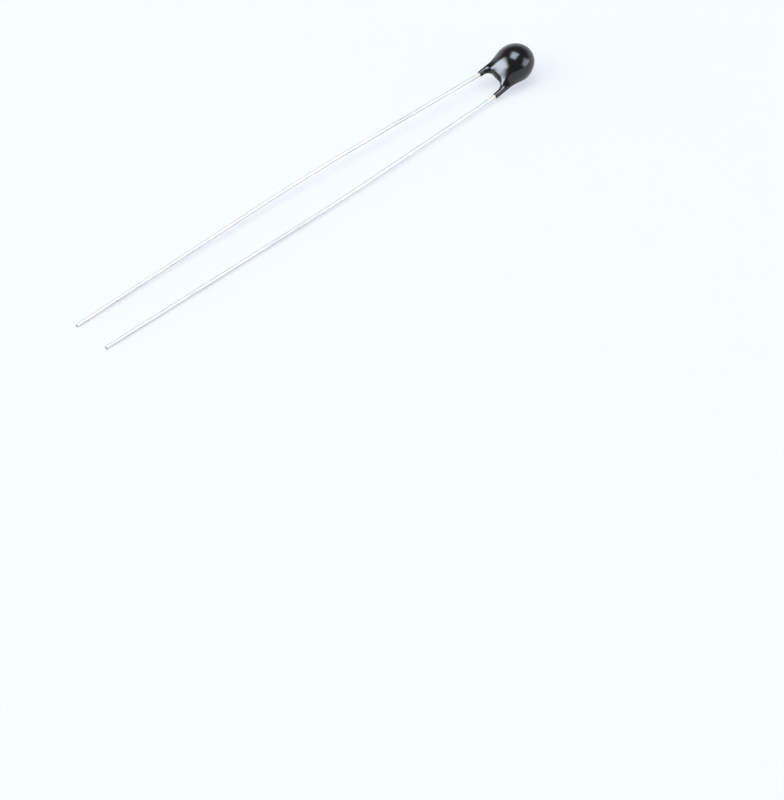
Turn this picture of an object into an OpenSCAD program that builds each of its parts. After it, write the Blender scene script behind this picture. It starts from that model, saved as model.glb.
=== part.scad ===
// Bead thermistor: a ceramic chip between two tinned wires, dipped in black epoxy.
// It lies at rest on its bulb and its lead tips. The leads run along -X and the bulb is at +X.

/* [Coating] */
// Diameter of the round bulb
bead_d = 2.1; // [1.8:0.02:2.6]
// Distance from the bulb's centre to its nose
bead_nose = 1.18; // [1:0.01:1.4]
// How far the bulb's tail reaches past its round back, between the legs
tail_out = 0.14; // [0.1:0.01:0.3]
// Diameter of the tail's rounded end
tail_d = 0.98; // [0.7:0.02:1.2]
// Distance from the bulb's centre to the end of the left leg
leg_reach = 1.87; // [1.7:0.01:2.4]
// How much further the coat runs down the right leg
leg_stagger = 0.22; // [0:0.01:0.4]
// Thickness of the coat on the wire along the legs
leg_film = 0.06; // [0.015:0.005:0.08]
// Reach of the meniscus between the bulb's tail and the legs
fork_blend = 0.9; // [0.6:0.02:1.1]
// Reach of the meniscus from one leg to the other
web_blend = 0.38; // [0.2:0.01:0.6]
// Reach of the meniscus on the outer sides of the legs
side_blend = 0.21; // [0.1:0.01:0.4]

/* [Leads] */
// Diameter of the lead wire
lead_d = 0.2; // [0.18:0.01:0.32]
// Distance between the leads at the legs
lead_pitch = 1.46; // [1.2:0.02:1.7]
// Length of the left lead from its leg to its tip
lead_length = 27.3; // [16:0.1:40]
// How much shorter the right lead is cut
tip_stagger = 0.16; // [0:0.02:1]
// Distance between the corners at which the leads bow apart
bow_pitch = 2.28; // [2:0.02:3]
// Distance from the legs to those corners, as a share of the leads
bow_share = 0.42; // [0.4:0.02:0.65]
// Distance between the tips of the leads
tip_pitch = 2.18; // [1.4:0.02:3]
// Radius of the gentle bow along each lead
bow_r = 120; // [60:10:140]
// Radius of the bends that handling left behind the legs
leg_bend_r = 1.5; // [0.8:0.1:3]
// Straight wire between the end of a leg and that bend
leg_stub = 0.1; // [0.1:0.05:0.8]

/* [Inside the bulb] */
// Edge of the square ceramic chip
chip_w = 0.8; // [0.6:0.05:0.9]
// Thickness of the chip, between its electrodes
chip_t = 0.4; // [0.3:0.05:0.5]
// Thickness of the fired silver electrodes
electrode_t = 0.02; // [0.01:0.005:0.04]
// Bare rim of the chip round each electrode
electrode_rim = 0.04; // [0.02:0.01:0.08]
// Solder between a wire and its electrode
solder_gap = 0.03; // [0.02:0.005:0.05]
// Radius of the solder's hollow fillet
solder_fillet = 0.1; // [0.08:0.01:0.13]
// Thickness of the solder at the foot of its fillet
solder_foot = 0.02; // [0.01:0.005:0.03]
// Solder beside the wire, at the top of its fillet
solder_lip = 0.03; // [0.02:0.005:0.05]
// Slope of the cranked wire between chip and leg
crank_angle = 40; // [30:1:50]
// Radius of the crank's two bends
crank_r = 0.3; // [0.2:0.05:0.4]
// Straight wire past the chip before the crank
crank_clear = 0.12; // [0.1:0.02:0.2]

/* [Rest] */
// Roll of the bulb, which lifts the left leg
head_roll = 23.5; // [0:0.5:40]
// Height of the lower lead over the surface, where it leaves its leg
leg_lift = 0.22; // [0:0.01:0.3]
// How far the bulb stands to the right of the middle between the leads
head_shift = 0.13; // [0:0.01:0.2]

/* [Hidden] */
LEFT = 1;
RIGHT = -1;
round_fn = 48;
bend_steps = 6;

// A bent wire necks down a hair, and its bends run a little way into the straight wire
bend_neck = 0.0006;
bend_let_in = 0.01;

bead_r = bead_d / 2;
lead_r = lead_d / 2;
leg_r = lead_r + leg_film;
leg_y = lead_pitch / 2;

// Wire over the chip: its height, its soldered end and its crank out to the leg
electrode_y = chip_t / 2 + electrode_t;
electrode_w = chip_w - 2 * electrode_rim;
contact_y = electrode_y + solder_gap + lead_r;
solder_half_w = lead_r + solder_lip + solder_fillet;
contact_front = electrode_w / 2 - solder_half_w;
crank_start = chip_w / 2 + crank_clear;
crank_end = crank_start + (leg_y - contact_y) / tan(crank_angle);

// The tail of the bulb: where its rounded end stands, and the slope of the cone that leads to it
tail_r = tail_d / 2;
tail_back = bead_r + tail_out - tail_r;
tail_sine = (bead_r - tail_r) / tail_back;
tail_cosine = sqrt(1 - tail_sine * tail_sine);

// Distance from the bulb's centre to a leg's end, and to the bend in the wire behind it
function reach(side) = leg_reach + (side == RIGHT ? leg_stagger : 0);
function wire_back(side) = reach(side) + leg_stub;

// The bulb lies on the surface, tipped back until the wire of the lower leg is close to it
low_back = wire_back(RIGHT);
low_drop = leg_y * sin(head_roll);
head_pitch = asin((bead_r - lead_r - leg_lift) / norm([low_back, low_drop])) - atan2(low_drop, low_back);

// The bulb's foremost point once it is tilted, which sets where the head stands
bulb_front = norm([bead_nose * cos(head_pitch), bead_r * sin(head_pitch)]);
leg_end = reach(LEFT) * cos(head_pitch);
overall = bulb_front + leg_end + lead_length;
bulb_centre = [overall / 2 - bulb_front, -head_shift, bead_r];
tip_x = -overall / 2;

// Width over which the meniscus narrows, from inside the fork to outside the legs
fork_edge = 4 * leg_r;

// Fineness of the coating's surface, and how its rings crowd towards the saddle
nose_rings = 12;
waist_rings = 14;
leg_rings = 14;
waist_crowding = 2;
leg_crowding = 1.5;
ring_steps = 26;
solve_steps = 24;

// Places the head's own frame: X to the nose, Y across the legs, origin at the bulb's centre
module head() {
    translate(bulb_centre) rotate([head_roll, -head_pitch, 0]) children();
}

function rolled(p) = [
    p.x,
    p.y * cos(head_roll) - p.z * sin(head_roll),
    p.y * sin(head_roll) + p.z * cos(head_roll)
];

function pitched(p) = [
    p.x * cos(head_pitch) - p.z * sin(head_pitch),
    p.y,
    p.x * sin(head_pitch) + p.z * cos(head_pitch)
];

function from_head(p) = bulb_centre + pitched(rolled(p));

// Corners of a lead's path, from its soldered end to its tip
function lead_corners(side) =
    let (
        bend = from_head([-wire_back(side), side * leg_y, 0]),
        tip = [tip_x + (side == RIGHT ? tip_stagger : 0), side * tip_pitch / 2, lead_r],
        bow = bend + bow_share * (tip - bend)
    )
    [
        from_head([contact_front, side * contact_y, 0]),
        from_head([-crank_start, side * contact_y, 0]),
        from_head([-crank_end, side * leg_y, 0]),
        bend,
        [bow.x, side * bow_pitch / 2, bow.z],
        tip
    ];

lead_bend_radii = [0, crank_r, crank_r, leg_bend_r, bow_r, 0];

function unit(v) = v / norm(v);

function run_direction(path, i) = unit(path[i + 1] - path[i]);

function bend_angle(path, i) =
    let (turn = run_direction(path, i - 1) * run_direction(path, i))
    acos(min(1, turn));

// Length that a rounded corner takes from the runs beside it
function setback(path, radii, i) =
    i == 0 || i == len(path) - 1 ? 0 : radii[i] * tan(bend_angle(path, i) / 2);

// A rigid frame at a point, from two of its axes
function frame_at(origin, x_axis, y_axis) =
    let (z_axis = cross(x_axis, y_axis))
    [
        [x_axis.x, y_axis.x, z_axis.x, origin.x],
        [x_axis.y, y_axis.y, z_axis.y, origin.y],
        [x_axis.z, y_axis.z, z_axis.z, origin.z],
        [0, 0, 0, 1]
    ];

// Direction from a bend's start towards its centre
function inward(path, i) =
    let (u = run_direction(path, i - 1), w = run_direction(path, i))
    unit(w - (w * u) * u);

// Any direction square to a run, to stand its cylinder on
function square_to(u) = unit(cross(u, [0, 0, 1]));

// Round wire along a path of straight runs with rounded corners
module wire(path, radii, r) {
    for (i = [0 : len(path) - 2]) {
        u = run_direction(path, i);
        start = path[i] + u * setback(path, radii, i);
        finish = path[i + 1] - u * setback(path, radii, i + 1);
        side = square_to(u);
        multmatrix(frame_at(start, side, cross(u, side)))
            cylinder(h = norm(finish - start), r = r, $fn = round_fn);
    }
    for (i = [1 : len(path) - 2]) {
        u = run_direction(path, i - 1);
        n = inward(path, i);
        start = path[i] - u * setback(path, radii, i);
        let_in = bend_let_in / radii[i] * 180 / PI;
        sweep = bend_angle(path, i) + 2 * let_in;
        multmatrix(frame_at(start + n * radii[i], -n, u))
            rotate([0, 0, -let_in])
                rotate_extrude(angle = sweep, $fn = bend_steps * 360 / sweep)
                    translate([radii[i], 0]) circle(r = r - bend_neck, $fn = round_fn);
    }
}

module lead(side) {
    wire(lead_corners(side), lead_bend_radii, lead_r);
}

module chip_block() {
    cube([chip_w, chip_t, chip_w], center = true);
}

module electrode_film(side) {
    translate([0, side * (electrode_y - electrode_t / 2), 0])
        cube([electrode_w, electrode_t, electrode_w], center = true);
}

// Half of the solder's section: a foot, a hollow fillet and a lip beside the wire
module solder_section() {
    top = solder_foot + solder_fillet;
    difference() {
        square([solder_half_w, top]);
        translate([solder_half_w, top]) circle(r = solder_fillet, $fn = round_fn);
    }
}

// Solder along the wire's end and round its tip, before the wire is taken out of it
module solder_blob(side) {
    length = contact_front + electrode_w / 2;
    rotate([side * -90, 0, 0]) translate([0, 0, electrode_y]) {
        translate([contact_front, 0, 0])
            rotate([0, 0, -90]) rotate_extrude(angle = 180, $fn = round_fn) solder_section();
        for (flip = [0, 1])
            translate([contact_front, 0, 0]) mirror([0, flip, 0])
                rotate([90, 0, -90]) linear_extrude(length) solder_section();
    }
}

function smooth_min(a, b, k) =
    let (h = max(k - abs(a - b), 0) / k)
    min(a, b) - h * h * k / 4;

function ease(t) = let (c = min(1, max(0, t))) c * c * (3 - 2 * c);

// How far a point lies outside the bulb, which is drawn out to its nose and narrows to its tail
function bulb_gap(p) =
    let (
        x = p.x > 0 ? p.x * bead_r / bead_nose : p.x,
        r = norm([p.y, p.z]),
        down_cone = -tail_cosine * x - tail_sine * r
    )
    down_cone < 0 ? norm([x, r]) - bead_r
    : down_cone > tail_cosine * tail_back ? norm([x + tail_back, r]) - tail_r
    : tail_cosine * r - tail_sine * x - bead_r;

// How far a point lies outside one leg
function leg_gap(p, side) = norm([max(p.x, 0), p.y - side * leg_y, p.z]) - leg_r;

// The meniscus is wide inside the fork and narrow outside the legs
function meniscus(p) =
    let (inside = ease((fork_edge / 2 + leg_y - abs(p.y)) / fork_edge))
    side_blend + (fork_blend - side_blend) * inside;

function coat_gap(p) =
    let (legs = smooth_min(leg_gap(p, LEFT), leg_gap(p, RIGHT), web_blend))
    smooth_min(bulb_gap(p), legs, meniscus(p));

// Distance along a ray at which the coat ends, found by halving
function coat_reach(from, along, low = 0, high = bead_d, steps = solve_steps) =
    let (middle = (low + high) / 2)
    steps == 0 ? middle
    : coat_gap(from + middle * along) < 0
        ? coat_reach(from, along, middle, high, steps - 1)
        : coat_reach(from, along, low, middle, steps - 1);

// Where the saddle between the legs crosses the axis
function saddle_x() = -coat_reach([0, 0, 0], [-1, 0, 0]);

// Stations along one half, close together at the nose and at the saddle
function coat_stations(saddle, half) = [
    for (i = [1 : nose_rings]) bead_nose * cos(90 * i / nose_rings),
    for (i = [1 : waist_rings]) saddle * (1 - pow(1 - i / waist_rings, waist_crowding)),
    for (i = [1 : leg_rings]) saddle - (reach(half) + saddle) * pow(i / leg_rings, leg_crowding)
];

// Half of a ring, from its top round the outside to its bottom
function half_ring(x, saddle) =
    let (
        forked = x < saddle,
        spine = [x, leg_y * ease(x / saddle), 0],
        seam = forked
            ? spine - [0, coat_reach(spine, [0, -1, 0], 0, leg_y), 0]
            : [x, 0, x == saddle ? 0 : coat_reach([x, 0, 0], [0, 0, 1])],
        open_angle = atan2(seam.z, seam.y - spine.y)
    )
    [
        for (i = [0 : ring_steps])
            let (angle = open_angle * (1 - 2 * i / ring_steps), along = [0, cos(angle), sin(angle)])
            i == 0 ? seam
            : i == ring_steps ? [seam.x, seam.y, -seam.z]
            : spine + along * coat_reach(spine, along)
    ];

// The dipped form, one skin over the bulb, the saddle and both legs
module coat_form() {
    saddle = saddle_x();
    fork = nose_rings + waist_rings - 1;
    last = fork + leg_rings;
    row = ring_steps + 1;

    // Both halves share the points on the seam, and a leg's ring closes on its first point
    function at(half, k, i) =
        let (
            j = i == ring_steps && k >= fork ? 0 : i,
            shared = k <= fork && (j == 0 || j == ring_steps)
        )
        1 + ((shared ? 0 : half) * (last + 1) + k) * row + j;

    points = [
        [bead_nose, 0, 0],
        for (half = [LEFT, RIGHT]) for (x = coat_stations(saddle, half))
            for (p = half_ring(x, saddle)) [p.x, half * p.y, p.z]
    ];
    skin = [
        for (k = [0 : last - 1]) for (i = [0 : ring_steps - 1])
            for (tri = [[[k, i], [k, i + 1], [k + 1, i + 1]], [[k, i], [k + 1, i + 1], [k + 1, i]]])
                tri
    ];
    nose = [for (i = [0 : ring_steps - 1]) [i, i + 1]];
    faces = [
        for (tri = skin) [for (c = [tri[2], tri[1], tri[0]]) at(0, c[0], c[1])],
        for (tri = skin) [for (c = tri) at(1, c[0], c[1])],
        for (e = nose) [0, at(0, 0, e[0]), at(0, 0, e[1])],
        for (e = nose) [0, at(1, 0, e[1]), at(1, 0, e[0])],
        [for (i = [ring_steps - 1 : -1 : 0]) at(0, last, i)],
        [for (i = [0 : ring_steps - 1]) at(1, last, i)]
    ];
    polyhedron(points = points, faces = faces);
}

module epoxy_coating() {
    color("#151618") difference() {
        head() coat_form();
        head() {
            chip_block();
            for (side = [LEFT, RIGHT]) {
                electrode_film(side);
                solder_blob(side);
            }
        }
        lead(LEFT);
        lead(RIGHT);
    }
}

module lead_left() {
    color("#d4d6d8") lead(LEFT);
}

module lead_right() {
    color("#d4d6d8") lead(RIGHT);
}

module ntc_chip() {
    color("#3a3532") head() chip_block();
}

module electrode_left() {
    color("#e4e2dc") head() electrode_film(LEFT);
}

module electrode_right() {
    color("#e4e2dc") head() electrode_film(RIGHT);
}

module solder_left() {
    color("#b4b7ba") difference() {
        head() solder_blob(LEFT);
        lead(LEFT);
    }
}

module solder_right() {
    color("#b4b7ba") difference() {
        head() solder_blob(RIGHT);
        lead(RIGHT);
    }
}

epoxy_coating();
lead_left();
lead_right();
ntc_chip();
electrode_left();
electrode_right();
solder_left();
solder_right();
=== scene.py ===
"""Looks of a bead thermistor: a ceramic chip dipped in black epoxy, on two tinned wire leads."""

import math

import bpy
import numpy as np
from mathutils import Matrix, Vector


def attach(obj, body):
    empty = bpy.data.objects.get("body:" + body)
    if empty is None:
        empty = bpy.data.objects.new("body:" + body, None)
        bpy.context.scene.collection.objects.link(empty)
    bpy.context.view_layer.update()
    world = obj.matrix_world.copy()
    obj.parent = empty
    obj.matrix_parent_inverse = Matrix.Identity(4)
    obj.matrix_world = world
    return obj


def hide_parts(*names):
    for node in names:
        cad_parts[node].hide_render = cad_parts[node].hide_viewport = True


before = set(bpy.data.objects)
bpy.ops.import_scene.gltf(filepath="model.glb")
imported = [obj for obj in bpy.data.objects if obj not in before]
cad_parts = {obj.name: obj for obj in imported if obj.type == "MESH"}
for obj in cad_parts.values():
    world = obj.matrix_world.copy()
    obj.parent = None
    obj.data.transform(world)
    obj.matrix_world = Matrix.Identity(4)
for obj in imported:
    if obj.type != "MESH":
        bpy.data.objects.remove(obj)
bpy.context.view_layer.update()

# Lengths are in millimetres, and MM turns them into the frame's metres
MM = 0.001
LEFT = 1
RIGHT = -1
X, Y, Z = np.eye(3)

# Coating, as the solids have it
BEAD_R = 1.05
BEAD_NOSE = 1.18
TAIL_OUT = 0.14
TAIL_R = 0.49
LEG_REACH = {LEFT: 1.87, RIGHT: 2.09}
LEG_FILM = 0.06
FORK_BLEND = 0.9
WEB_BLEND = 0.38
SIDE_BLEND = 0.21

# Leads, as the solids have them
LEAD_R = 0.1
LEG_Y = 0.73
LEAD_LENGTH = 27.3
TIP_STAGGER = 0.16
BOW_PITCH = 2.28
BOW_SHARE = 0.42
TIP_PITCH = 2.18
BOW_R = 120.0
LEG_BEND_R = 1.5
LEG_STUB = 0.1
CONTACT_FRONT = 0.13
CONTACT_Y = 0.35
CRANK_START = 0.52
CRANK_ANGLE = math.radians(40)
CRANK_R = 0.3

# How the head lies: rolled to one side, and tipped back until the lower leg's wire is close to the floor
HEAD_ROLL = math.radians(23.5)
HEAD_SHIFT = 0.13
LEG_LIFT = 0.22
LOW_BACK = LEG_REACH[RIGHT] + LEG_STUB
LOW_DROP = LEG_Y * math.sin(HEAD_ROLL)
HEAD_PITCH = (
    math.asin((BEAD_R - LEAD_R - LEG_LIFT) / math.hypot(LOW_BACK, LOW_DROP))
    - math.atan2(LOW_DROP, LOW_BACK)
)
BULB_FRONT = math.hypot(BEAD_NOSE * math.cos(HEAD_PITCH), BEAD_R * math.sin(HEAD_PITCH))
OVERALL = BULB_FRONT + LEG_REACH[LEFT] * math.cos(HEAD_PITCH) + LEAD_LENGTH
BULB_CENTRE = np.array([OVERALL / 2 - BULB_FRONT, -HEAD_SHIFT, BEAD_R])

# What follows from those sizes
LEG_R = LEAD_R + LEG_FILM
FORK_EDGE = 4 * LEG_R
TAIL_BACK = BEAD_R + TAIL_OUT - TAIL_R
TAIL_SINE = (BEAD_R - TAIL_R) / TAIL_BACK
TAIL_COSINE = math.sqrt(1 - TAIL_SINE**2)
CRANK_END = CRANK_START + (LEG_Y - CONTACT_Y) / math.tan(CRANK_ANGLE)

# Fineness of the coating's skin, and its crowding towards the saddle
NOSE_RINGS = 40
WAIST_RINGS = 48
LEG_RINGS = 44
WAIST_CROWDING = 2
LEG_CROWDING = 1.5
RING_STEPS = 84

# How far out the skin is looked for, and how often that stretch is halved
SOLVE_REACH = 2 * BEAD_R
SOLVE_STEPS = 32

# The dip leaves the skin a little wavy, and its ends on the wire are rounded
SEED = 7
WAVE_SPREAD = (0.7, 1.6)
RIPPLE = 0.003
RIPPLE_WAVE = 0.75
RIPPLE_WAVES = 9
LIP = 0.05

# Fineness of the leads, and the slight unevenness of their tin, along the wire and round it
WIRE_SIDES = 32
WIRE_STEP = 0.12
BEND_STEPS = 12
TIN_SWELL = 0.001
TIN_WAVE = 1.6
TIN_ROUND = 2

# The leads' cut tips, and the angle past which an edge is sharp
TIP_BEVEL = 0.012
TIP_SLANT = 0.02
SHARP_ANGLE = math.radians(30)

# A dark nick in the left lead's tin, towards the other lead: its distance from the tip, and its size
NICK_BACK = 2.6
NICK_SIZE = 0.11

# The flux stain behind the right leg, and where the coating begins to thin towards its legs' ends
STAIN_LENGTH = 0.7
STAIN_SHARE = 0.6
THIN_START = 1.3

# Colours that each finish varies between, and those that show in places
RESIN = (0.0025, 0.0026, 0.0028), (0.0045, 0.0046, 0.005)
THIN_RESIN = (0.014, 0.011, 0.009)
TIN = (0.61, 0.588, 0.56), (0.7, 0.673, 0.64)
STAINED_TIN = (0.66, 0.58, 0.47)
NICKED_TIN = (0.3, 0.285, 0.275)
SHEARED_CORE = (0.18, 0.167, 0.158), (0.32, 0.298, 0.28)
CERAMIC = (0.045, 0.038, 0.034), (0.08, 0.068, 0.06)
SILVER = (0.8, 0.79, 0.76), (0.9, 0.89, 0.86)
SOLDER = (0.56, 0.57, 0.59), (0.7, 0.71, 0.73)

# The stretch of a noise's values that takes a finish from end to end, and a narrower one
NOISE_RANGE = (0.3, 0.7)
STRETCH_RANGE = (0.35, 0.65)

# The colour sockets of a mix node
MIX_FIRST = 6
MIX_SECOND = 7
MIX_RESULT = 2

# The photograph's frame, and the camera over it
IMAGE_LONG_SIDE = 800
FOCAL_PIXELS = 4043
SENSOR = 36.0
CAMERA_HEADING = math.radians(41.54)
CAMERA_ELEVATION = math.radians(48.1)
CAMERA_DISTANCE = 202.75
CLIP_SHARE = 0.01
AIM = np.array([-6.433, -13.291, 0])

# The floor and the lamps round it, in metres, and the middle of a lamp's own coordinates
FLOOR_SIZE = 3.0
LAMP_DISTANCE = 0.6
LAMP_MIDDLE = 0.5

# The floor's own colour, the white that it shows, and how much of that white it shows
FLOOR_PALE = (0.9, 0.915, 0.955)
FLOOR_FAINT = (0.885, 0.9, 0.94)
FLOOR_WHITE = (0.895, 0.943, 1.0)
WHITE_SHARE = 0.6

# Colours of the light: what falls on matt surfaces, and what glossy ones show
GLOW_TINT = (0.95, 0.98, 1.0)
SHINE_TINT = (0.8, 0.88, 1.0)

# The room: pale low down behind the part, dim above and in front
BACKDROP = (0.95, 0.97, 1.0)
BACKDROP_TOP = -0.12
ROOM = (0.21, 0.22, 0.24)
ROOM_START = 0.32
ROOM_LEAN = 0.3

rng = np.random.default_rng(SEED)


# Form of the coating

def turned(points):
    """Points in the head's own frame, rolled, tipped back and set in place."""
    c, s = math.cos(HEAD_ROLL), math.sin(HEAD_ROLL)
    roll = np.array([[1, 0, 0], [0, c, -s], [0, s, c]])
    c, s = math.cos(HEAD_PITCH), math.sin(HEAD_PITCH)
    pitch = np.array([[c, 0, -s], [0, 1, 0], [s, 0, c]])
    return np.asarray(points) @ (pitch @ roll).T + BULB_CENTRE


def smooth_min(a, b, k):
    """The smaller of two values, blended where they differ by less than k."""
    h = np.maximum(k - np.abs(a - b), 0) / k
    return np.minimum(a, b) - h * h * k / 4


def ease(t):
    """A smooth step from 0 to 1."""
    c = np.clip(t, 0, 1)
    return c * c * (3 - 2 * c)


def waves(count, wavelength):
    """Random directions and phases for a sum of gentle waves."""
    directions = rng.normal(size=(count, 3))
    directions /= np.linalg.norm(directions, axis=1)[:, None]
    lengths = wavelength * rng.uniform(*WAVE_SPREAD, count)
    return directions * (2 * math.pi / lengths)[:, None], rng.uniform(0, 2 * math.pi, count)


def wavy(p, numbers, phases):
    """Height of a sum of waves at points."""
    return np.sin(p @ numbers.T + phases).sum(axis=-1) / math.sqrt(len(phases))


head_back = turned(-X) - BULB_CENTRE
ripple_numbers, ripple_phases = waves(RIPPLE_WAVES, RIPPLE_WAVE)


def bulb_gap(x, y, z):
    """How far points lie outside the bulb, which is drawn out to its nose and narrows to its tail."""
    x = np.where(x > 0, x * BEAD_R / BEAD_NOSE, x)
    r = np.hypot(y, z)
    down_cone = -TAIL_COSINE * x - TAIL_SINE * r
    cone = TAIL_COSINE * r - TAIL_SINE * x - BEAD_R
    tail = np.hypot(x + TAIL_BACK, r) - TAIL_R
    back = np.where(down_cone > TAIL_COSINE * TAIL_BACK, tail, cone)
    return np.where(down_cone < 0, np.hypot(x, r) - BEAD_R, back)


def leg_gap(x, y, z, side):
    """How far points lie outside one leg, whose end on the wire is rounded."""
    over = np.clip((LIP - LEG_REACH[side] - x) / LIP, 0, 1)
    lip = np.minimum(LIP * (1 - np.sqrt(1 - over**2)), LEG_FILM)
    return np.sqrt(np.maximum(x, 0) ** 2 + (y - side * LEG_Y) ** 2 + z**2) - LEG_R + lip


def coat_gap(p):
    """How far points lie outside the coating."""
    x, y, z = p[..., 0], p[..., 1], p[..., 2]
    legs = smooth_min(leg_gap(x, y, z, LEFT), leg_gap(x, y, z, RIGHT), WEB_BLEND)
    inside = ease((FORK_EDGE / 2 + LEG_Y - np.abs(y)) / FORK_EDGE)
    meniscus = SIDE_BLEND + (FORK_BLEND - SIDE_BLEND) * inside
    calm = ease((x + LEG_REACH[LEFT]) / BEAD_R)
    ripple = RIPPLE * calm * wavy(p, ripple_numbers, ripple_phases)
    return smooth_min(bulb_gap(x, y, z), legs, meniscus) - ripple


def coat_reach(start, along, high):
    """Distance along each ray at which the coating ends, found by halving."""
    low = np.zeros(len(along))
    high = np.full(len(along), float(high))
    for _ in range(SOLVE_STEPS):
        middle = (low + high) / 2
        inside = coat_gap(start + middle[:, None] * along) < 0
        low = np.where(inside, middle, low)
        high = np.where(inside, high, middle)
    return (low + high) / 2


def reach_one(start, along, high):
    """The same for a single ray."""
    return coat_reach(np.array([start]), np.array([along]), high)[0]


def coat_stations(saddle, half):
    """Places of the rings along one half, from its nose to the end of its leg."""
    leg = LEG_REACH[half] + saddle
    nose = [BEAD_NOSE * math.cos(math.pi / 2 * i / NOSE_RINGS) for i in range(1, NOSE_RINGS + 1)]
    waist = [saddle * (1 - (1 - i / WAIST_RINGS) ** WAIST_CROWDING) for i in range(1, WAIST_RINGS + 1)]
    legs = [saddle - leg * (i / LEG_RINGS) ** LEG_CROWDING for i in range(1, LEG_RINGS + 1)]
    return nose + waist + legs


def half_ring(x, saddle, half):
    """One half's ring at a station, from its top round the outside to its bottom."""
    spine = np.array([x, half * LEG_Y * float(ease(x / saddle)), 0])
    if x < saddle:
        inner = spine - half * Y * reach_one(spine, -half * Y, LEG_Y)
        ends = inner, inner
    elif x == saddle:
        ends = x * X, x * X
    else:
        ends = [x * X + side * Z * reach_one(x * X, side * Z, SOLVE_REACH) for side in (1, -1)]
    opening = [math.atan2(end[2], half * (end[1] - spine[1])) for end in ends]
    if x <= saddle:
        opening = [math.pi, -math.pi]
    angles = np.linspace(opening[0], opening[1], RING_STEPS + 1)[1:-1]
    along = np.stack([0 * angles, half * np.cos(angles), np.sin(angles)], axis=1)
    ring = spine + along * coat_reach(spine, along, SOLVE_REACH)[:, None]
    return np.vstack([ends[0], ring, ends[1]])


def coat_mesh():
    """Points and faces of the dipped form, one skin over the bulb, the saddle and both legs."""
    saddle = -reach_one(0 * X, -X, SOLVE_REACH)
    fork = NOSE_RINGS + WAIST_RINGS - 1
    last = fork + LEG_RINGS
    row = RING_STEPS + 1
    nose = reach_one(0 * X, X, SOLVE_REACH) * X
    rings = [half_ring(x, saddle, half) for half in (LEFT, RIGHT) for x in coat_stations(saddle, half)]
    points = np.vstack([nose, *rings])

    def at(half, k, i):
        j = 0 if i == RING_STEPS and k >= fork else i
        shared = k <= fork and j in (0, RING_STEPS)
        return 1 + ((0 if shared else half) * (last + 1) + k) * row + j

    faces = []
    for half in (0, 1):
        places = [(k, i) for k in range(last) for i in range(RING_STEPS)]
        sides = [[(k, i), (k, i + 1), (k + 1, i + 1), (k + 1, i)] for k, i in places]
        skin = [[at(half, k, i) for k, i in corners] for corners in sides]
        skin += [[0, at(half, 0, i + 1), at(half, 0, i)] for i in range(RING_STEPS)]
        skin.append([at(half, last, i) for i in range(RING_STEPS)])
        faces += skin if half == 0 else [face[::-1] for face in skin]
    return points, [list(dict.fromkeys(face)) for face in faces]


# Form of the leads

def unit(v):
    return v / np.linalg.norm(v)


def lead_corners(side):
    """Corners of a lead's path, from its soldered end to its tip."""
    soldered = [
        [CONTACT_FRONT, side * CONTACT_Y, 0],
        [-CRANK_START, side * CONTACT_Y, 0],
        [-CRANK_END, side * LEG_Y, 0],
        [-LEG_REACH[side] - LEG_STUB, side * LEG_Y, 0],
    ]
    inner = turned(soldered)
    tip_x = -OVERALL / 2 + (TIP_STAGGER if side == RIGHT else 0)
    tip = np.array([tip_x, side * TIP_PITCH / 2, LEAD_R])
    bow = inner[-1] + BOW_SHARE * (tip - inner[-1])
    bow[1] = side * BOW_PITCH / 2
    return [*inner, bow, tip]


def straight(start, finish):
    """Points along a straight run, without its start."""
    count = max(1, round(np.linalg.norm(finish - start) / WIRE_STEP))
    return [start + (finish - start) * (i + 1) / count for i in range(count)]


def rounded_path(corners, radii):
    """Points along straight runs joined by round bends."""
    points = [corners[0]]
    for before, corner, after, radius in zip(corners, corners[1:], corners[2:], radii):
        u, w = unit(corner - before), unit(after - corner)
        angle = math.acos(min(1, u @ w))
        start = corner - u * radius * math.tan(angle / 2)
        inward = unit(w - (w @ u) * u)
        steps = np.linspace(0, angle, BEND_STEPS + 1)
        points += straight(points[-1], start)
        points += [start + radius * (u * math.sin(t) + inward * (1 - math.cos(t))) for t in steps[1:]]
    return np.array(points + straight(points[-1], corners[-1]))


def wire_mesh(path):
    """Points and faces of a round wire with slightly uneven tin, and how many faces its skin has."""
    tangents = np.gradient(path, axis=0)
    tangents /= np.linalg.norm(tangents, axis=1)[:, None]
    normal = unit(np.cross(tangents[0], Z))
    numbers, phases = waves(RIPPLE_WAVES, TIN_WAVE)
    angles = np.linspace(0, 2 * math.pi, WIRE_SIDES, endpoint=False)
    rings = []
    for point, tangent in zip(path, tangents):
        normal = unit(normal - (normal @ tangent) * tangent)
        across = np.cos(angles)[:, None] * normal + np.sin(angles)[:, None] * np.cross(tangent, normal)
        swell = TIN_SWELL * (wavy(point + TIN_ROUND * across, numbers, phases) - 1)
        rings.append(point + across * (LEAD_R + swell)[:, None])
    slant = TIP_SLANT * (np.sin(angles)[:, None] - 1) * tangents[-1]
    rings[-1] = rings[-1] - TIP_BEVEL * tangents[-1]
    rings.append(path[-1] + (rings[-1] - path[-1]) * (1 - TIP_BEVEL / LEAD_R) + slant)
    points = np.vstack(rings)
    last = len(rings) - 1
    faces = []
    for k in range(last):
        here, there = k * WIRE_SIDES, (k + 1) * WIRE_SIDES
        for i in range(WIRE_SIDES):
            j = (i + 1) % WIRE_SIDES
            faces.append([here + i, here + j, there + j, there + i])
    skin = len(faces) - WIRE_SIDES
    faces.append(list(range(WIRE_SIDES))[::-1])
    faces.append([last * WIRE_SIDES + i for i in range(WIRE_SIDES)])
    return points, faces, skin


# Materials

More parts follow.
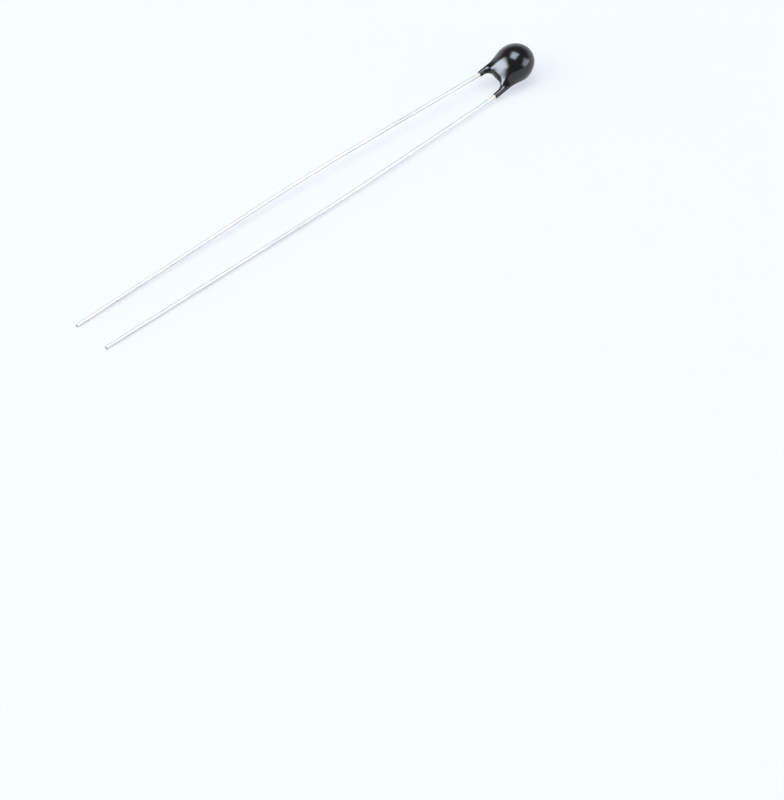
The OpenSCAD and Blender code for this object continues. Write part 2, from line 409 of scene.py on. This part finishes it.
class Nodes:
    """A node tree, and the few nodes that the finishes, the lamps and the room use."""

    def __init__(self, tree):
        self.tree = tree

    def node(self, kind, **settings):
        made = self.tree.nodes.new(kind)
        for name, value in settings.items():
            setattr(made, name, value)
        return made

    def link(self, output, socket):
        self.tree.links.new(output, socket)

    def feed(self, socket, value):
        """Links another node's output to a socket, or sets the socket to a plain value."""
        if isinstance(value, bpy.types.NodeSocket):
            self.link(value, socket)
        else:
            socket.default_value = value

    def maths(self, operation, *values, **settings):
        made = self.node("ShaderNodeMath", operation=operation, **settings)
        for socket, value in zip(made.inputs, values):
            self.feed(socket, value)
        return made.outputs["Value"]

    def vector_maths(self, operation, first, second):
        made = self.node("ShaderNodeVectorMath", operation=operation)
        self.feed(made.inputs[0], first)
        self.feed(made.inputs[1], second)
        return made.outputs

    def ranged(self, value, low, high, to_low=0.0, to_high=1.0, **settings):
        """A value carried from one range to another."""
        mapped = self.node("ShaderNodeMapRange", **settings)
        self.link(value, mapped.inputs["Value"])
        ends = {"From Min": low, "From Max": high, "To Min": to_low, "To Max": to_high}
        for name, number in ends.items():
            mapped.inputs[name].default_value = number
        return mapped.outputs["Result"]

    def mixed(self, factor, first, second):
        """A mix of two colours, either of which may be another node's output."""
        mix = self.node("ShaderNodeMix", data_type="RGBA")
        self.link(factor, mix.inputs["Factor"])
        for socket, colour in ((mix.inputs[MIX_FIRST], first), (mix.inputs[MIX_SECOND], second)):
            self.feed(socket, (*colour, 1) if isinstance(colour, tuple) else colour)
        return mix.outputs[MIX_RESULT]


class Looks(Nodes):
    """A material with a principled shader, whose textures lie in the part's own frame."""

    def __init__(self, name):
        self.material = bpy.data.materials.new(name)
        self.material.use_nodes = True
        super().__init__(self.material.node_tree)
        self.shader = self.tree.nodes["Principled BSDF"]
        self.place = self.node("ShaderNodeTexCoord").outputs["Object"]

    def set(self, **values):
        for name, value in values.items():
            self.shader.inputs[name.replace("_", " ")].default_value = value

    def noise(self, size, detail=3.0, stretch=(1, 1, 1)):
        """Noise with features of about that size in millimetres, stretched along the axes."""
        mapping = self.node("ShaderNodeMapping")
        mapping.inputs["Scale"].default_value = [1 / (size * MM * s) for s in stretch]
        self.link(self.place, mapping.inputs["Vector"])
        texture = self.node("ShaderNodeTexNoise")
        texture.inputs["Scale"].default_value = 1
        texture.inputs["Detail"].default_value = detail
        self.link(mapping.outputs["Vector"], texture.inputs["Vector"])
        return texture.outputs["Fac"]

    def along(self, origin, direction):
        """Distance in metres from a point, along a direction."""
        offset = self.vector_maths("SUBTRACT", self.place, origin)["Vector"]
        return self.vector_maths("DOT_PRODUCT", offset, direction)["Value"]

    def near(self, point, reach):
        """1 at a point, fading to 0 at that distance from it, both in millimetres."""
        distance = self.vector_maths("DISTANCE", self.place, point * MM)["Value"]
        return self.ranged(distance, reach * MM, 0)

    def colour(self, output):
        self.link(output, self.shader.inputs["Base Color"])

    def roughness(self, low, high, **grain):
        """Roughness that wanders between two values, with that grain of noise."""
        wander = self.ranged(self.noise(**grain), *NOISE_RANGE, low, high)
        self.link(wander, self.shader.inputs["Roughness"])

    def bump(self, depth, **grain):
        """Relief of that depth in millimetres, with that grain of noise."""
        height = self.noise(**grain)
        bump = self.node("ShaderNodeBump")
        bump.inputs["Distance"].default_value = depth * MM
        self.link(height, bump.inputs["Height"])
        self.link(bump.outputs["Normal"], self.shader.inputs["Normal"])


def epoxy_looks():
    """Glossy black resin, a little brown where it thins out along the wire."""
    looks = Looks("dipped_epoxy")
    looks.set(IOR=1.55)
    back = looks.along(BULB_CENTRE * MM, head_back)
    thin = looks.ranged(back, THIN_START * MM, LEG_REACH[LEFT] * MM)
    body = looks.mixed(looks.noise(size=0.3), *RESIN)
    looks.colour(looks.mixed(thin, body, THIN_RESIN))
    looks.roughness(low=0.1, high=0.2, size=0.12, detail=5)
    looks.bump(depth=0.0012, size=0.05, detail=4)
    return looks.material


def tin_looks():
    """Tin over drawn wire, in long dull and bright stretches, with a flux stain and a nick."""
    looks = Looks("bright_tin")
    looks.set(Metallic=1.0)
    stretches = looks.ranged(looks.noise(size=0.8, stretch=(6, 1, 1)), *STRETCH_RANGE)
    tin = looks.mixed(stretches, *TIN)
    back = looks.along(BULB_CENTRE * MM, head_back)
    bare_from = LEG_REACH[RIGHT]
    stain = looks.ranged(back, (bare_from + STAIN_LENGTH) * MM, bare_from * MM, 0.0, STAIN_SHARE)
    stained = looks.mixed(stain, tin, STAINED_TIN)
    before, tip = lead_corners(LEFT)[-2:]
    nick = tip + NICK_BACK * unit(before - tip) - LEAD_R * Y
    looks.colour(looks.mixed(looks.near(nick, NICK_SIZE), stained, NICKED_TIN))
    looks.roughness(low=0.42, high=0.48, size=0.3, stretch=(5, 1, 1))
    looks.bump(depth=0.0003, size=0.04, stretch=(30, 1, 1))
    return looks.material


def cut_looks():
    """The sheared core at a lead's tip."""
    looks = Looks("sheared_core")
    looks.set(Metallic=1.0)
    looks.colour(looks.mixed(looks.noise(size=0.05), *SHEARED_CORE))
    looks.roughness(low=0.4, high=0.6, size=0.03)
    return looks.material


def ceramic_looks():
    """Matt sintered metal oxide."""
    looks = Looks("sintered_ceramic")
    looks.colour(looks.mixed(looks.noise(size=0.06, detail=6), *CERAMIC))
    looks.roughness(low=0.7, high=0.9, size=0.04)
    looks.bump(depth=0.003, size=0.02, detail=5)
    return looks.material


def silver_looks():
    """Fired silver, matt and faintly granular."""
    looks = Looks("fired_silver")
    looks.set(Metallic=1.0)
    looks.colour(looks.mixed(looks.noise(size=0.05, detail=5), *SILVER))
    looks.roughness(low=0.45, high=0.6, size=0.03)
    return looks.material


def solder_looks():
    """Satin solder with a crystalline bloom."""
    looks = Looks("satin_solder")
    looks.set(Metallic=1.0)
    looks.colour(looks.mixed(looks.noise(size=0.1, detail=5), *SOLDER))
    looks.roughness(low=0.25, high=0.42, size=0.05)
    looks.bump(depth=0.002, size=0.04)
    return looks.material


# Pieces

def piece(name, points, faces, *materials):
    """A smooth mesh object from points in millimetres."""
    mesh = bpy.data.meshes.new(name)
    mesh.from_pydata((np.asarray(points) * MM).tolist(), [], faces)
    mesh.shade_smooth()
    for material in materials:
        mesh.materials.append(material)
    made = bpy.data.objects.new(name, mesh)
    bpy.context.scene.collection.objects.link(made)
    return made


def dress(made, node):
    """Lets a piece stand for a solid and move with it."""
    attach(made, "root")
    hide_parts(node)


def add_coating():
    points, faces = coat_mesh()
    coating = piece("dipped_coating", turned(points), faces, epoxy_looks())
    for face in coating.data.polygons:
        face.use_smooth = len(face.vertices) < RING_STEPS
    dress(coating, "epoxy_coating")


def add_leads():
    tin, cut = tin_looks(), cut_looks()
    for side, word in ((LEFT, "left"), (RIGHT, "right")):
        path = rounded_path(lead_corners(side), [CRANK_R, CRANK_R, LEG_BEND_R, BOW_R])
        points, faces, skin = wire_mesh(path)
        lead = piece(f"tinned_lead_{word}", points, faces, tin, cut)
        for face in lead.data.polygons[skin:]:
            face.use_smooth = False
            face.material_index = 1
        lead.data.set_sharp_from_angle(angle=SHARP_ANGLE)
        dress(lead, f"lead_{word}")


def dress_inner_nodes():
    """Finishes for the solids inside the coating, which stay as they are."""
    finishes = {"ntc_chip": ceramic_looks()}
    silver, solder = silver_looks(), solder_looks()
    for word in ("left", "right"):
        finishes[f"electrode_{word}"] = silver
        finishes[f"solder_{word}"] = solder
    for node, material in finishes.items():
        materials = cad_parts[node].data.materials
        materials.clear()
        materials.append(material)


# Floor, lamps and camera

right_hand = np.array([math.cos(CAMERA_HEADING), -math.sin(CAMERA_HEADING), 0])
away = np.array([math.sin(CAMERA_HEADING), math.cos(CAMERA_HEADING), 0])
camera_up = math.sin(CAMERA_ELEVATION) * away + math.cos(CAMERA_ELEVATION) * Z


def add_floor():
    """A pale floor that shows partly its own white, so that shadows on it stay faint."""
    half = FLOOR_SIZE / 2 / MM
    corners = [(-half, -half, 0), (half, -half, 0), (half, half, 0), (-half, half, 0)]
    looks = Looks("pale_floor")
    looks.set(Roughness=1.0, Specular_IOR_Level=0.0)
    looks.colour(looks.mixed(looks.noise(size=6), FLOOR_FAINT, FLOOR_PALE))
    white = looks.node("ShaderNodeEmission")
    white.inputs["Color"].default_value = (*FLOOR_WHITE, 1)
    rays = looks.node("ShaderNodeLightPath").outputs
    seen = looks.maths("ADD", rays["Is Camera Ray"], rays["Is Glossy Ray"], use_clamp=True)
    seen = looks.maths("ADD", seen, rays["Is Transmission Ray"], use_clamp=True)
    share = looks.ranged(seen, 0, 1, 0, WHITE_SHARE)
    mix = looks.node("ShaderNodeMixShader")
    looks.link(share, mix.inputs["Fac"])
    looks.link(looks.shader.outputs["BSDF"], mix.inputs[1])
    looks.link(white.outputs["Emission"], mix.inputs[2])
    looks.link(mix.outputs["Shader"], looks.tree.nodes["Material Output"].inputs["Surface"])
    piece("floor", corners, [(0, 1, 2, 3)], looks.material)


def soften(lamp, soft):
    """Lets a lamp's brightness fade towards its edges, over that share of its half width."""
    lamp.use_nodes = True
    nodes = Nodes(lamp.node_tree)
    split = nodes.node("ShaderNodeSeparateXYZ")
    nodes.link(nodes.node("ShaderNodeNewGeometry").outputs["Parametric"], split.inputs["Vector"])
    offsets = [nodes.maths("SUBTRACT", split.outputs[axis], LAMP_MIDDLE) for axis in "XY"]
    outward = nodes.maths("MAXIMUM", *[nodes.maths("ABSOLUTE", offset) for offset in offsets])
    inner = LAMP_MIDDLE - soft / 2
    strength = nodes.ranged(outward, LAMP_MIDDLE, inner, interpolation_type="SMOOTHSTEP")
    nodes.link(strength, nodes.tree.nodes["Emission"].inputs["Strength"])


def softbox(name, heading, height, spread, turn, soft, glow, shine):
    """A lamp at a heading and height as the camera stands, as wide and high as spread, and turned.

    Angles are in degrees. Glow is its brightness for matt surfaces, with white paper as 1, and shine
    is what glossy ones show, with edges that are soft over a share of its half width.
    """
    az, el, turn = (math.radians(angle) for angle in (heading, height, turn))
    towards = math.cos(el) * (math.sin(az) * right_hand + math.cos(az) * away) + math.sin(el) * Z
    across = unit(np.cross(camera_up, towards))
    upward = np.cross(towards, across)
    wide = math.cos(turn) * across + math.sin(turn) * upward
    high = math.cos(turn) * upward - math.sin(turn) * across
    axes = Matrix(np.column_stack([wide, high, towards]).tolist()).to_4x4()
    sides = [2 * LAMP_DISTANCE * math.tan(math.radians(angle) / 2) for angle in spread]
    for part, brightness, tint in (("glow", glow, GLOW_TINT), ("shine", shine, SHINE_TINT)):
        lamp = bpy.data.lights.new(f"{name}_{part}", "AREA")
        lamp.shape = "RECTANGLE"
        lamp.size, lamp.size_y = sides
        lamp.energy = math.pi * sides[0] * sides[1] * brightness
        lamp.color = tint
        lamp.cycles.use_multiple_importance_sampling = part == "shine"
        if part == "shine":
            soften(lamp, soft)
        holder = bpy.data.objects.new(lamp.name, lamp)
        holder.matrix_world = Matrix.Translation(towards * LAMP_DISTANCE) @ axes
        holder.visible_diffuse = part == "glow"
        holder.visible_glossy = part == "shine"
        bpy.context.scene.collection.objects.link(holder)


def add_lamps():
    softbox(
        "left_softbox", heading=-103.5, height=8, spread=(85, 70), turn=12,
        soft=0.68, glow=2.7, shine=14.8,
    )
    softbox(
        "top_softbox", heading=40, height=87, spread=(45, 50), turn=-30,
        soft=0.55, glow=2.8, shine=9.2,
    )
    softbox(
        "right_softbox", heading=100.6, height=9.6, spread=(62, 45), turn=-22,
        soft=0.6, glow=1.7, shine=4.3,
    )


def add_world():
    """A dim room whose wall is pale low down behind the part."""
    world = bpy.data.worlds.new("studio")
    bpy.context.scene.world = world
    world.use_nodes = True
    nodes = Nodes(world.node_tree)
    place = nodes.node("ShaderNodeTexCoord").outputs["Generated"]
    height = nodes.vector_maths("DOT_PRODUCT", place, Z - ROOM_LEAN * away)["Value"]
    fade = nodes.ranged(height, BACKDROP_TOP, ROOM_START, interpolation_type="SMOOTHSTEP")
    wall = nodes.mixed(fade, BACKDROP, ROOM)
    nodes.link(wall, nodes.tree.nodes["Background"].inputs["Color"])


def add_camera():
    back = math.sin(CAMERA_ELEVATION) * Z - math.cos(CAMERA_ELEVATION) * away
    camera = bpy.data.cameras.new("camera")
    camera.sensor_width = SENSOR
    camera.lens = SENSOR * FOCAL_PIXELS / IMAGE_LONG_SIDE
    camera.clip_start = CLIP_SHARE * CAMERA_DISTANCE * MM
    holder = bpy.data.objects.new("camera", camera)
    holder.location = Vector((AIM + back * CAMERA_DISTANCE) * MM)
    holder.rotation_mode = "QUATERNION"
    holder.rotation_quaternion = Vector(-back).to_track_quat("-Z", "Y")
    bpy.context.scene.collection.objects.link(holder)
    bpy.context.scene.camera = holder


add_coating()
add_leads()
dress_inner_nodes()
add_floor()
add_lamps()
add_world()
add_camera()
bpy.context.scene.view_settings.view_transform = "Standard"
